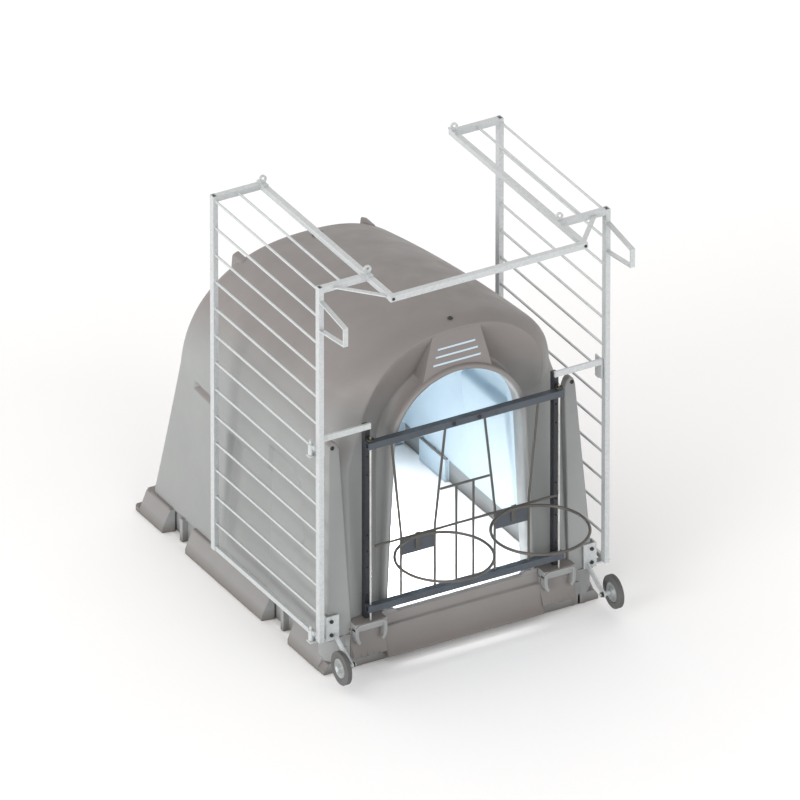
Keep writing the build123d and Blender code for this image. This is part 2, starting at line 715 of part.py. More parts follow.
def bow_handle(side):
    """Flat strip bent into a handle on the front of a front post."""
    top_back, top_front = (POST_Y - 14, 1640), (POST_Y - BOW_REACH, 1613)
    low_front, low_back = (POST_Y - BOW_REACH, 1534), (POST_Y - 14, 1510)
    thick = 6
    outline = [
        top_back, top_front, low_front, low_back,
        (low_back[0], low_back[1] + thick), (low_front[0] + thick, low_front[1] + thick),
        (top_front[0] + thick, top_front[1] - thick), (top_back[0], top_back[1] - thick),
    ]
    x = side * FENCE_X
    return side_prism(outline, (x - 10, x + 10))


def cross_bar():
    """Flat bar that ties the front ends of the two long members together."""
    half = LONG_X + LONG_SIZE / 2
    return block((-half, half), (LONG_FRONT - CROSS_BAR_THICK, LONG_FRONT), (FENCE_TOP - ARM_SIZE, FENCE_TOP))


def cross_bar_bolt(side):
    """Bolt head on the front of the cross bar."""
    x, z = side * LONG_X, FENCE_TOP - ARM_SIZE / 2
    front = LONG_FRONT - CROSS_BAR_THICK
    return rod((x, front - 3, z), (x, front, z), 6)


base = hutch_base()
save("hutch_base", base)
save("hutch_shell", hutch_shell(base))
save("roof_plug", roof_plug())
save("cross_bar", cross_bar())
save("gate_top_rail", gate_rail(TOP_RAIL_Z))
save("gate_bottom_rail", gate_rail(BOTTOM_RAIL_Z))
save("gate_outer_bars", kinked_bars(*OUTER_BAR))
save("gate_inner_bars", kinked_bars(*INNER_BAR))
save("gate_centre_bars", centre_bars())
save("gate_long_bar", cross_rod(LONG_BAR_HALF, LONG_BAR_Y, LONG_BAR_Z))
save("gate_short_bar", cross_rod(SHORT_BAR_HALF, GATE_Y, SHORT_BAR_Z))
save("hinge_rod", gate_rod(1, HINGE_ROD_DROP))
save("lock_rod", gate_rod(-1, 0))

save("post_caps", both_sides(post_cap))
save("eye_bolts", both_sides(eye_bolt))
save("cage_pins", group(cage_pin(side, z) for _, side in SIDES for z in (LOWER_PIN_Z, UPPER_PIN_Z)))
save("ladder_rods", both_sides(ladder_rod))
save("corner_braces", both_sides(corner_brace))
save("cross_bar_bolts", both_sides(cross_bar_bolt))
save("axle_nuts", both_sides(axle_nut))
save("axle_spacers", both_sides(axle_spacer))
save("bracket_bolts", group(bracket_bolt(side, z) for _, side in SIDES for z in BOLT_ZS))

for label, side in SIDES:
    save(f"gate_post_{label}", gate_post(side))
    save(f"top_arm_{label}", top_arm(side))
    save(f"upper_bracket_{label}", upper_bracket(side))
    save(f"lower_bracket_{label}", lower_bracket(side))
    save(f"wheel_arm_{label}", wheel_arm(side))
    save(f"wheel_axle_{label}", wheel_axle(side))
    save(f"wheel_tyre_{label}", wheel_tyre(side))
    save(f"wheel_hub_{label}", wheel_hub(side))
    save(f"bucket_plate_{label}", bucket_plate(side))
    save(f"bucket_ring_{label}", bucket_ring(side))
    save(f"ring_hook_{label}", ring_hook(side))
    save(f"fence_front_post_{label}", fence_front_post(side))
    save(f"fence_rear_post_{label}", fence_post(side, FENCE_REAR))
    save(f"roof_arms_{label}", group(roof_arm(side, y) for y in (POST_Y, FENCE_REAR)))
    save(f"lifting_eyes_{label}", group(lifting_eye(side, y) for y in (POST_Y, FENCE_REAR - 10)))
    save(f"fence_rods_{label}", fence_rods(side))
    save(f"fence_foot_rail_{label}", fence_foot_rail(side))
    save(f"long_member_{label}", long_member(side))
    save(f"bow_handle_{label}", bow_handle(side))
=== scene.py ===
"""Looks of the calf hutch: shell, gate, cage and wheels in metres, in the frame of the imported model."""
import bmesh
import bpy
import math
from mathutils import Matrix, Vector


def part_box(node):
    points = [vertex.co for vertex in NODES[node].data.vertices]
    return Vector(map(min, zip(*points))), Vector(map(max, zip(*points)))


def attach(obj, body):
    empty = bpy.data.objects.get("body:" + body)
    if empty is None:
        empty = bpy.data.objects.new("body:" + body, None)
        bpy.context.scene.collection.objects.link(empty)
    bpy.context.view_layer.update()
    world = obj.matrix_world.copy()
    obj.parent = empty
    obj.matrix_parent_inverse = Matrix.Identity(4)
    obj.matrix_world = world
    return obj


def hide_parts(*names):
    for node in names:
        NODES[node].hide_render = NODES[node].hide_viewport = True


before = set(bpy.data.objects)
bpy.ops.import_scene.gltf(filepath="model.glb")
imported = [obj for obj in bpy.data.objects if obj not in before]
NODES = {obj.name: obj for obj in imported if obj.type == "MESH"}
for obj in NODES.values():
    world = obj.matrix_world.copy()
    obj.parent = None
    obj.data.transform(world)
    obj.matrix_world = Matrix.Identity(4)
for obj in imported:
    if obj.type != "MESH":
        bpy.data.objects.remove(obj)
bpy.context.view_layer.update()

# ---------------------------------------------------------------- places worked out from the frame
BASE_LOW, BASE_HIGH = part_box("hutch_base")
BEAM_REACH = 0.028                         # the sill beam stands this far in front of the fence posts
POST_Y = BASE_LOW.y + BEAM_REACH
REAR_Y = BASE_HIGH.y
HALF_BASE = BASE_HIGH.x
BASE_FRONT = POST_Y + 0.012
GATE_RAIL_LOW, GATE_RAIL_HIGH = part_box("gate_top_rail")
ROD_LOW, ROD_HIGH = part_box("hinge_rod")
SIDES = (("left", -1), ("right", 1))

# ---------------------------------------------------------------- hutch sizes
WALL = 0.008
VAULT_EXPONENT = 2.35
VAULT_FOOT = 0.095
DOOR_RADIUS = 0.275
DOOR_SPRING = 0.868
DOOR_FOOT_HALF = 0.310
DOOR_FOOT = 0.170
RIM_WIDTH = 0.0245
RIM_Y = POST_Y + 0.030
BAND_HALF = 0.568
BAND_TOP = 0.100
CHAMFER = 0.042
RECESS_WALL = 0.540
SIDE_RECESSES = ((0.290, 0.490), (1.085, 1.263))
TOOTH_HALF = 0.011
FLANGE_TOP = 0.022
FLANGE_INNER = 0.548
FLANGE_FACE = 0.569                        # half width of the flange where it meets the band's top edge
BAND_END_WALL = 0.036
END_LEAN = 0.012
REAR_NOTCH = (0.250, 0.380)
BEAM_HALF = 0.340
BEAM_END_HALF = 0.484
BEAM_BACK = 0.048
PLATFORM = (0.342, 0.478)
SHELF_LOW, SHELF_TOP = 0.168, 0.200        # the shelf of a rod platform
ROD_SOCKET = 0.0055
SHOULDER_Z = 1.0                           # the front edge is drawn in most at this height
PROFILE_STEPS = 420
BODY_STEPS = 180


# ---------------------------------------------------------------- shader helpers
NOISE_MIDDLE = (0.3, 0.7)


def new_material(name, color, roughness, metallic=0.0):
    """A material and its Principled shader."""
    mat = bpy.data.materials.new(name)
    mat.use_nodes = True
    shader = mat.node_tree.nodes["Principled BSDF"]
    shader.inputs["Base Color"].default_value = (*color, 1.0)
    shader.inputs["Roughness"].default_value = roughness
    shader.inputs["Metallic"].default_value = metallic
    return mat, shader


def add(mat, kind, **values):
    """Adds one shader node to a material, or to the world, and sets its named inputs."""
    node = mat.node_tree.nodes.new(kind)
    for key, value in values.items():
        node.inputs[key].default_value = value
    return node


def link(mat, source, target):
    """Joins an output socket to an input socket."""
    mat.node_tree.links.new(source, target)


def object_point(mat):
    return add(mat, "ShaderNodeTexCoord").outputs["Object"]


def noise(mat, scale, detail=4.0):
    """Noise over the object's own coordinates."""
    node = add(mat, "ShaderNodeTexNoise", Scale=scale, Detail=detail, Roughness=0.5)
    link(mat, object_point(mat), node.inputs["Vector"])
    return node.outputs["Fac"]


def ramp(mat, factor, stops):
    """A colour ramp: stops are (position, colour)."""
    node = add(mat, "ShaderNodeValToRGB")
    elements = node.color_ramp.elements
    while len(elements) < len(stops):
        elements.new(0.5)
    for element, (position, color) in zip(elements, stops):
        element.position = position
        element.color = (*color, 1.0)
    link(mat, factor, node.inputs["Fac"])
    return node.outputs["Color"]


def mapped(mat, value, source, target):
    """A value mapped from one range onto another, and held at its ends."""
    ranges = {"From Min": source[0], "From Max": source[1], "To Min": target[0], "To Max": target[1]}
    node = add(mat, "ShaderNodeMapRange", **ranges)
    link(mat, value, node.inputs["Value"])
    return node.outputs["Result"]


def spread(mat, factor, low, high):
    """Maps the middle of a noise's range onto low..high."""
    return mapped(mat, factor, NOISE_MIDDLE, (low, high))


def clouded(mat, factor, color, low, high):
    """A colour between a darker and a lighter tint of itself, led by noise."""
    start, end = NOISE_MIDDLE
    return ramp(mat, factor, [(start, tint(color, low)), (end, tint(color, high))])


def mixed(mat, factor, first, second):
    """Two colours mixed by a factor."""
    node = mat.node_tree.nodes.new("ShaderNodeMix")
    node.data_type = "RGBA"
    factor_socket, first_socket, second_socket, colour_output = 0, 6, 7, 2
    for socket, source in ((factor_socket, factor), (first_socket, first), (second_socket, second)):
        link(mat, source, node.inputs[socket])
    return node.outputs[colour_output]


def bump(mat, shader, height, strength):
    """A relief up to a millimetre high."""
    node = add(mat, "ShaderNodeBump", Strength=strength, Distance=0.001)
    link(mat, height, node.inputs["Height"])
    link(mat, node.outputs["Normal"], shader.inputs["Normal"])


def tint(color, amount):
    """A colour made darker or lighter."""
    return tuple(min(1.0, channel * amount) for channel in color)


# ---------------------------------------------------------------- materials
# dark brown towards the ground: soil on the shell's foot, painted shade on the sill beam
FOOT_SOIL_AND_SHADE = (0.100, 0.085, 0.075)
TOP_SHADE_HEIGHT = (0.85, 1.15)                 # the painted top shade comes in between these heights
TOP_SHADE_SLOPE = (0.10, 0.55)                  # and between these upward parts of the surface normal


def shell_material(name, color, top_shade_color, roughness, soil_and_shade_height=0.05, soil_and_shade_strength=0.9):
    """Satin moulded polyethylene with faint clouding, browner and darker where it faces up or stands high, as
    painted shade, and darker at its foot: soil on the shell, painted shade on the sill beam.
    """
    mat, shader = new_material(name, color, roughness)
    clouds = noise(mat, 3.0, detail=6.0)
    height = add(mat, "ShaderNodeSeparateXYZ")
    link(mat, object_point(mat), height.inputs["Vector"])
    facing = add(mat, "ShaderNodeSeparateXYZ")
    link(mat, add(mat, "ShaderNodeTexCoord").outputs["Normal"], facing.inputs["Vector"])
    # painted shade: the higher of the height and upward-slope factors mixes in the darker, browner top colour
    upper = add(mat, "ShaderNodeMath")
    upper.operation = "MAXIMUM"
    link(mat, mapped(mat, height.outputs["Z"], TOP_SHADE_HEIGHT, (0.0, 1.0)), upper.inputs[0])
    link(mat, mapped(mat, facing.outputs["Z"], TOP_SHADE_SLOPE, (0.0, 1.0)), upper.inputs[1])
    side_tone, top_shade_tone = (clouded(mat, clouds, tone, 0.94, 1.05) for tone in (color, top_shade_color))
    shade = mixed(mat, upper.outputs["Value"], side_tone, top_shade_tone)
    # darker towards the ground: soil at the shell's foot, painted shade over the sill beam's taller span
    low = mapped(mat, height.outputs["Z"], (0.0, soil_and_shade_height), (soil_and_shade_strength, 0.0))
    foot_soil_and_shade = add(mat, "ShaderNodeRGB").outputs["Color"]
    foot_soil_and_shade.default_value = (*FOOT_SOIL_AND_SHADE, 1.0)
    link(mat, mixed(mat, low, shade, foot_soil_and_shade), shader.inputs["Base Color"])
    gloss = spread(mat, noise(mat, 11.0), roughness - 0.06, roughness + 0.08)
    link(mat, gloss, shader.inputs["Roughness"])
    bump(mat, shader, noise(mat, 260.0, detail=3.0), 0.10)
    return mat


def galvanised_material():
    """Hot-dip zinc: pale crystals a few millimetres wide and a slightly uneven skin."""
    color = (0.50, 0.52, 0.525)
    mat, shader = new_material("galvanised_zinc", color, 0.42, 0.35)
    cells = add(mat, "ShaderNodeTexVoronoi", Scale=130.0)
    link(mat, object_point(mat), cells.inputs["Vector"])
    tone = add(mat, "ShaderNodeSeparateColor")
    link(mat, cells.outputs["Color"], tone.inputs["Color"])
    shade = ramp(mat, tone.outputs["Red"], [(0.0, tint(color, 0.94)), (1.0, tint(color, 1.06))])
    link(mat, shade, shader.inputs["Base Color"])
    link(mat, spread(mat, noise(mat, 30.0), 0.34, 0.52), shader.inputs["Roughness"])
    bump(mat, shader, noise(mat, 180.0), 0.12)
    return mat


def coated_material(name, color, roughness, metallic=0.0, scale=60.0):
    """Powder coat or plating with slight tone changes and a fine texture."""
    mat, shader = new_material(name, color, roughness, metallic)
    shade = clouded(mat, noise(mat, scale * 0.2, detail=5.0), color, 0.84, 1.16)
    link(mat, shade, shader.inputs["Base Color"])
    gloss = spread(mat, noise(mat, scale), roughness - 0.07, roughness + 0.10)
    link(mat, gloss, shader.inputs["Roughness"])
    bump(mat, shader, noise(mat, scale * 12), 0.10)
    return mat


def assign(mat, *names):
    """Gives CAD nodes a better material in all their slots."""
    for name in names:
        for slot in NODES[name].material_slots:
            slot.material = mat


# the second colour of each is painted shade for surfaces that face up or stand high
SHELL = shell_material("shell_grey_plastic", (0.250, 0.258, 0.255), (0.190, 0.174, 0.167), 0.50)
# the sill beam: painted shade darkens it towards the ground over its lower 22 cm
BEAM = shell_material("shell_beam_painted_shade_plastic", (0.245, 0.235, 0.228), (0.210, 0.195, 0.188), 0.50, 0.22, 0.85)
INSIDE = shell_material("shell_inner_plastic", (0.50, 0.60, 0.67), (0.50, 0.60, 0.67), 0.50, 0.02, 0.3)
ZINC = galvanised_material()
SLATE = coated_material("slate_coating", (0.050, 0.060, 0.074), 0.42)
POST = coated_material("post_coating", (0.017, 0.020, 0.025), 0.42)
BAR = coated_material("dark_bar_coating", (0.070, 0.064, 0.056), 0.40)
BRIGHT = coated_material("bright_zinc", (0.62, 0.62, 0.60), 0.30, 0.9, 90.0)
YELLOW = coated_material("yellow_zinc", (0.050, 0.045, 0.030), 0.34, 0.6, 90.0)
BOLT = coated_material("weathered_bolt", (0.022, 0.022, 0.022), 0.45, 0.2, 120.0)
BLACK = coated_material("black_plastic", (0.025, 0.025, 0.025), 0.50)
RUBBER = coated_material("grey_rubber", (0.085, 0.085, 0.083), 0.62)
HUB = coated_material("cast_hub", (0.32, 0.34, 0.34), 0.34, 0.4, 80.0)


# ---------------------------------------------------------------- mesh helpers
SCREW_STEPS, LOOP_STEPS, HUB_STEPS, TYRE_STEPS = 24, 32, 64, 96


def make_piece(name, verts, faces, mats, smooth=True):
    """A mesh object from its points, faces and materials."""
    mesh = bpy.data.meshes.new(name)
    mesh.from_pydata([tuple(v) for v in verts], [], faces)
    for mat in mats:
        mesh.materials.append(mat)
    mesh.polygons.foreach_set("use_smooth", [smooth] * len(mesh.polygons))
    mesh.update()
    piece = bpy.data.objects.new(name, mesh)
    bpy.context.scene.collection.objects.link(piece)
    return piece


def modify(piece, kind, **settings):
    """Adds a modifier with its settings."""
    modifier = piece.modifiers.new(kind.lower(), kind)
    for key, value in settings.items():
        setattr(modifier, key, value)


def prism_faces(count):
    """Faces of a prism with count points at each end, one end's points before the other's."""
    ends = [tuple(range(count)), tuple(range(2 * count - 1, count - 1, -1))]
    return ends + [(i, i + count, (i + 1) % count + count, (i + 1) % count) for i in range(count)]


def face_outwards(piece):
    """Turns all faces of a closed piece outwards."""
    work = bmesh.new()
    work.from_mesh(piece.data)
    bmesh.ops.recalc_face_normals(work, faces=work.faces)
    work.to_mesh(piece.data)
    work.free()


def bevelled(piece, width, segments=3):
    modify(piece, "BEVEL", width=width, segments=segments, limit_method="ANGLE", angle_limit=0.5)
    modify(piece, "WEIGHTED_NORMAL", keep_sharp=True)
    return piece


def prism(name, outline, direction, mat, width):
    """A bevelled prism: a flat outline of points pushed along a direction."""
    push = Vector(direction)
    verts = [Vector(p) for p in outline] + [Vector(p) + push for p in outline]
    piece = make_piece(name, verts, prism_faces(len(outline)), [mat])
    face_outwards(piece)
    return bevelled(piece, width)


def side_prism(name, outline, x_ends, mat, width=0.003):
    """A bevelled prism from (y, z) points between two x values."""
    x0, x1 = x_ends
    return prism(name, [(x0, y, z) for y, z in outline], (x1 - x0, 0, 0), mat, width)


def front_prism(name, outline, y_ends, mat, width=0.003):
    """A bevelled prism from (x, z) points between two y values."""
    y0, y1 = y_ends
    return prism(name, [(x, y0, z) for x, z in outline], (0, y1 - y0, 0), mat, width)


def plan_piece(name, loops, z_ends, mat, width=0.003):
    """A level plate with bevelled edges, from an outer loop of (x, y) points and any holes in it."""
    mesh = bpy.data.meshes.new(name)
    work = bmesh.new()
    edges = []
    for loop in loops:
        corners = [work.verts.new((x, y, z_ends[0])) for x, y in loop]
        edges += [work.edges.new((a, b)) for a, b in zip(corners, corners[1:] + corners[:1])]
    bmesh.ops.triangle_fill(work, edges=edges, use_beauty=True, use_dissolve=False)
    raised = bmesh.ops.extrude_face_region(work, geom=list(work.faces), use_keep_orig=True)
    lifted = [item for item in raised["geom"] if isinstance(item, bmesh.types.BMVert)]
    bmesh.ops.translate(work, verts=lifted, vec=(0, 0, z_ends[1] - z_ends[0]))
    bmesh.ops.recalc_face_normals(work, faces=work.faces)
    work.to_mesh(mesh)
    work.free()
    mesh.materials.append(mat)
    mesh.polygons.foreach_set("use_smooth", [True] * len(mesh.polygons))
    piece = bpy.data.objects.new(name, mesh)
    bpy.context.scene.collection.objects.link(piece)
    return bevelled(piece, width)


def lathe(name, profile, centre, mat, steps):
    """A body of revolution about the X axis from (x, radius) points, closed into a ring."""
    verts, faces = [], []
    count = len(profile)
    for step in range(steps):
        angle = math.tau * step / steps
        for x, radius in profile:
            spoke = Vector((x, radius * math.cos(angle), radius * math.sin(angle)))
            verts.append(Vector(centre) + spoke)
    for step in range(steps):
        for index in range(count):
            following = (index + 1) % count
            a, b = step * count, (step + 1) % steps * count
            faces.append((a + index, a + following, b + following, b + index))
    piece = make_piece(name, verts, faces, [mat])
    face_outwards(piece)
    modify(piece, "WEIGHTED_NORMAL", keep_sharp=True)
    return piece


def joined(name, pieces):
    """Joins several bevelled pieces into one, with their modifiers applied."""
    graph = bpy.context.evaluated_depsgraph_get()
    work = bmesh.new()
    mats = []
    for piece in pieces:
        mesh = bpy.data.meshes.new_from_object(piece.evaluated_get(graph))
        mesh.transform(piece.matrix_world)
        for polygon in mesh.polygons:
            mat = mesh.materials[polygon.material_index]
            if mat not in mats:
                mats.append(mat)
            polygon.material_index = mats.index(mat)
        work.from_mesh(mesh)
        bpy.data.meshes.remove(mesh)
    mesh = bpy.data.meshes.new(name)
    work.to_mesh(mesh)
    work.free()
    for mat in mats:
        mesh.materials.append(mat)
    for piece in pieces:
        bpy.data.objects.remove(piece)
    whole = bpy.data.objects.new(name, mesh)
    bpy.context.scene.collection.objects.link(whole)
    modify(whole, "WEIGHTED_NORMAL", keep_sharp=True)
    return whole


def on_body(piece, body, *replaced):
    """Makes a piece move with a body, and stand in for the CAD nodes it replaces."""
    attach(piece, body)
    if replaced:
        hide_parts(*replaced)
    return piece


# ---------------------------------------------------------------- hutch: the moulded skin
def lerp(a, b, share):
    return a + (b - a) * share


def smooth_step(low, high, value):
    share = min(1.0, max(0.0, (value - low) / (high - low)))
    return share * share * (3 - 2 * share)


def vault_size(depth):
    """Half width and height at the spring, crown height and foot half width, at a depth behind POST_Y."""
    half = 0.535 - 0.012 * depth - 0.0110 * depth ** 2
    spring = 0.787 - 0.05 * depth - 0.012 * depth ** 2
    crown = 1.347 - 0.03 * depth - 0.085 * depth ** 2
    foot = 0.557 - 0.0035 * depth
    return half, spring, crown, foot


def resample(points, count):
    """Points evenly spaced along a polyline."""
    lengths = [0.0]
    for a, b in zip(points, points[1:]):
        lengths.append(lengths[-1] + math.dist(a, b))
    result, index = [], 0
    for step in range(count + 1):
        target = lengths[-1] * step / count
        while index < len(points) - 2 and lengths[index + 1] < target:
            index += 1
        share = (target - lengths[index]) / (lengths[index + 1] - lengths[index])
        a, b = points[index], points[index + 1]
        result.append((lerp(a[0], b[0], share), lerp(a[1], b[1], share)))
    return result


def arch(half, foot_half, foot_z, spring, rise, exponent):
    """Outline from the left foot over a rounded top to the right foot, as (x, z)."""
    steps = 160
    power = 2 / exponent
    points = [(-foot_half, foot_z)]
    for step in range(steps + 1):
        angle = math.pi * (1 - step / steps)
        x = half * math.copysign(abs(math.cos(angle)) ** power, math.cos(angle))
        points.append((x, spring + rise * max(0.0, math.sin(angle)) ** power))
    points.append((foot_half, foot_z))
    return resample(points, PROFILE_STEPS)


def vault_profile(depth):
    """Outline of the vault at a depth, as (x, z)."""
    half, spring, crown, foot = vault_size(depth)
    return arch(half, foot, VAULT_FOOT, spring, crown - spring, VAULT_EXPONENT)


def door_profile(grow):
    """Outline of the doorway, grown outwards."""
    radius = DOOR_RADIUS + grow
    return arch(radius, DOOR_FOOT_HALF + grow, DOOR_FOOT, DOOR_SPRING, radius, 2.0)


class VaultTable:
    """Vault cross-sections at close steps of depth, read by linear interpolation."""
    start, step, count = -0.1, 0.02, 90
    profiles = []

    @classmethod
    def point(cls, depth, index):
        spot = (depth - cls.start) / cls.step
        low = int(spot)
        near, far = cls.profiles[low][index], cls.profiles[low + 1][index]
        return Vector((lerp(near[0], far[0], spot - low), lerp(near[1], far[1], spot - low)))

    @classmethod
    def inward(cls, depth, index):
        """Unit vector pointing into the vault, square to its outline."""
        before = cls.point(depth, max(0, index - 1))
        after = cls.point(depth, min(PROFILE_STEPS, index + 1))
        along = (after - before).normalized()
        return Vector((along.y, -along.x))


for table_row in range(VaultTable.count):
    VaultTable.profiles.append(vault_profile(VaultTable.start + VaultTable.step * table_row))


def front_depth(z):
    """Depth of the front edge: it leans back up to the pillar tops, then comes forward to the roof."""
    return lerp(0.018 + 0.088 * z, 0.052, smooth_step(0.90, 1.22, z))


def front_round(z):
    """How far the front edge is drawn in from the vault's outline, and the depth over which it closes."""
    crown_z = vault_size(0.0)[2]
    low, shoulder, crown = (0.085, 0.085), (0.125, 0.240), (0.020, 0.110)
    if z < SHOULDER_Z:
        share = smooth_step(0.78, SHOULDER_Z, z)
        return lerp(low[0], shoulder[0], share), lerp(low[1], shoulder[1], share)
    share = (z - SHOULDER_Z) / (crown_z - SHOULDER_Z)
    return lerp(shoulder[0], crown[0], share), lerp(shoulder[1], crown[1], share)


def rear_round(_):
    """The same pair for the rear edge, which is the same all round."""
    return 0.050, 0.070


def rear_depth(z):
    """Depth of the back wall, which leans forwards."""
    return 1.472 - 0.194 * z


def side_press(d, z):
    """How far the side wall is pressed in at a depth and a height; below zero where a panel stands out."""
    foot_z, panel_top = 0.12, 0.58
    step_line = 0.524 + 0.057 * (z - foot_z)
    past_step = smooth_step(step_line, step_line + 0.008, d)
    press = -0.032 * past_step * (1 - smooth_step(0.870, 0.895, d)) * (1 - smooth_step(0.582, 0.618, z))
    edge_line = 0.244 + 0.184 * (z - 0.391) + 0.06 * smooth_step(0.66, 0.72, z)
    edge_width = lerp(0.20, 0.010, smooth_step(0.30, 0.48, z))
    fore_panel = smooth_step(edge_line, edge_line + edge_width, d) * (1 - past_step)
    press -= 0.015 * fore_panel * (1 - smooth_step(0.698, 0.722, z))
    groove = smooth_step(0.996, 1.010, d) * (1 - smooth_step(1.158, 1.172, d))
    press += 0.018 * groove * smooth_step(0.655, 0.668, z) * (1 - smooth_step(0.676, 0.690, z))
    taper = min(1.0, max(0.0, (z - foot_z) / (panel_top - foot_z)))
    return press * lerp(0.3, 1.0, taper)


def edge_ring(depth_at, round_at, sign, turn):
    """A ring on the drawn-in edge, with turn from 0 at the end wall to 1 at the vault."""
    ring = []
    for index in range(PROFILE_STEPS + 1):
        guess = VaultTable.point(depth_at(1.0), index)
        depth = depth_at(guess.y)
        radius, reach = round_at(guess.y)
        depth += sign * reach * turn
        drawn_in = VaultTable.inward(depth, index) * radius * (1 - turn) ** 3
        spot = VaultTable.point(depth, index) + drawn_in
        ring.append(Vector((spot.x, POST_Y + depth, spot.y)))
    return ring


def body_ring(share):
    """A ring of the vault between its two drawn-in edges."""
    ring = []
    for index in range(PROFILE_STEPS + 1):
        z = VaultTable.point(lerp(0.1, 1.3, share), index).y
        depth = lerp(front_depth(z) + front_round(z)[1], rear_depth(z) - rear_round(z)[1], share)
        spot = VaultTable.point(depth, index)
        if abs(spot.x) > 0.3 and spot.y < 0.8:
            spot.x -= math.copysign(side_press(depth, spot.y), spot.x)
        ring.append(Vector((spot.x, POST_Y + depth, spot.y)))
    return ring


def face_ring(share, rim, edge):
    """A ring of the front wall, hollowed between the door rim and the outer edge."""
    ring = []
    for (x0, z0), outer in zip(rim, edge):
        x, z = lerp(x0, outer.x, share), lerp(z0, outer.z, share)
        hollow = lerp(0.030, 0.062, smooth_step(0.85, 1.15, z)) * (1 - share)
        depth = front_depth(lerp(z, outer.z, 0.5)) + hollow
        ring.append(Vector((x, POST_Y + max(depth, 0.042), z)))
    pull = share ** 8
    return [Vector((point.x, lerp(point.y, outer.y, pull), point.z)) for point, outer in zip(ring, edge)]


def skin_rings():
    """The outer skin as rings of points, from inside the doorway round to the back wall."""
    rings = []
    lip = ((0.0, 0.075), (0.0, 0.014), (0.0015, 0.006), (0.005, 0.001), (0.011, -0.002), (0.017, -0.001),
           (0.021, 0.003), (0.0235, 0.010), (RIM_WIDTH, 0.024))
    for grow, back in lip:
        rings.append([Vector((x, RIM_Y + back, z)) for x, z in door_profile(grow)])
    rim = door_profile(RIM_WIDTH + 0.002)
    edge = edge_ring(front_depth, front_round, 1, 0.0)
    face_shares = (0.0, 0.06, 0.14, 0.24, 0.36, 0.48, 0.60, 0.72, 0.84, 0.94, 0.985)
    rings += [face_ring(share, rim, edge) for share in face_shares]
    turns = [0.0, 0.03, 0.07] + [step / 8 for step in range(1, 9)]
    rings += [edge_ring(front_depth, front_round, 1, turn) for turn in turns]
    rings += [body_ring(step / BODY_STEPS) for step in range(1, BODY_STEPS)]
    rings += [edge_ring(rear_depth, rear_round, -1, 1 - turn) for turn in turns]
    last = rings[-1]
    for share in (0.15, 0.35, 0.55, 0.75, 0.90, 0.97):
        ring = []
        for point in last:
            z = VAULT_FOOT + (point.z - VAULT_FOOT) * (1 - 0.5 * share)
            ring.append(Vector((point.x * (1 - share), POST_Y + rear_depth(z), z)))
        rings.append(ring)
    return rings


def hutch_skin():
    """The vault and its front wall as one thin skin, pale on the inside."""
    rings = skin_rings()
    row = PROFILE_STEPS + 1
    verts = [point for ring in rings for point in ring]
    faces = []
    for r in range(len(rings) - 1):
        for c in range(PROFILE_STEPS):
            a = r * row + c
            faces.append((a, a + 1, a + row + 1, a + row))
    last = (len(rings) - 1) * row
    half = PROFILE_STEPS // 2
    for c in range(half):
        mirror = PROFILE_STEPS - c
        faces.append((last + c, last + c + 1, last + mirror - 1, last + mirror))
    piece = make_piece("hutch_skin", verts, faces, [SHELL, INSIDE])
    work = bmesh.new()
    work.from_mesh(piece.data)
    bmesh.ops.remove_doubles(work, verts=work.verts, dist=0.0002)
    bmesh.ops.dissolve_degenerate(work, dist=0.0001, edges=work.edges)
    bmesh.ops.recalc_face_normals(work, faces=work.faces)
    top = max(work.faces, key=lambda face: face.calc_center_median().z)
    if top.normal.z < 0:
        bmesh.ops.reverse_faces(work, faces=work.faces)
    work.to_mesh(piece.data)
    work.free()
    modify(piece, "SOLIDIFY", thickness=WALL, offset=-1.0, material_offset=1, use_rim=True)
    return on_body(piece, "hutch", "hutch_shell", "hutch_base")


def on_side(points, side):
    """Points given for the right side, as (x, y) or (x, z), put on either side of the hutch."""
    return [(side * x, other) for x, other in points]


def both_sides(right):
    """A closed outline from its right half."""
    return right + [(-x, y) for x, y in reversed(right)]


def behind_posts(points):
    """Points given as (depth behind POST_Y, z), as (y, z)."""
    return [(POST_Y + depth, z) for depth, z in points]


# ---------------------------------------------------------------- hutch: front panel parts
VENT_LOW, VENT_HIGH, VENT_WIDE, VENT_NARROW = 1.128, 1.304, 0.150, 0.104
VENT_SLOTS = ((0.103, 1.186), (0.092, 1.218), (0.082, 1.249))
VENT_TOP = ((0.088, 1.316), (0.04, 1.3195), (-0.04, 1.3195), (-0.088, 1.316))
HALF_SLOT = 0.0045
PILLAR_PROUD = 0.014                       # the pillars stand this far in front of the front edge


def vent_edge(z):
    """Half width of the vent panel at a height."""
    return lerp(VENT_WIDE, VENT_NARROW, (z - VENT_LOW) / (VENT_HIGH - VENT_LOW))


def vent_outlines():
    """The panel cut into level strips, so that its slots stay open."""
    rows = [VENT_LOW]
    for _, z in VENT_SLOTS:
        rows += [z - HALF_SLOT, z + HALF_SLOT]
    rows.append(VENT_HIGH)
    radius = DOOR_RADIUS + 0.018
    across = [VENT_WIDE * k / 6 for k in range(-6, 7)]
    arc = [(x, DOOR_SPRING + math.sqrt(radius ** 2 - x ** 2)) for x in across]
    outlines = [arc + [(vent_edge(rows[1]), rows[1]), (-vent_edge(rows[1]), rows[1])]]
    for index, (z0, z1) in enumerate(zip(rows[1:], rows[2:])):
        low, high = vent_edge(z0), vent_edge(z1)
        spans = [(-low, -high, low, high)]
        if index % 2 == 0:
            half = VENT_SLOTS[index // 2][0]
            spans = [(-low, -high, -half, -half), (half, half, low, high)]
        outlines += [[(a0, z0), (b0, z0), (b1, z1), (a1, z1)] for a0, a1, b0, b1 in spans]
    return outlines + [[(-VENT_NARROW, VENT_HIGH), (VENT_NARROW, VENT_HIGH), *VENT_TOP]]


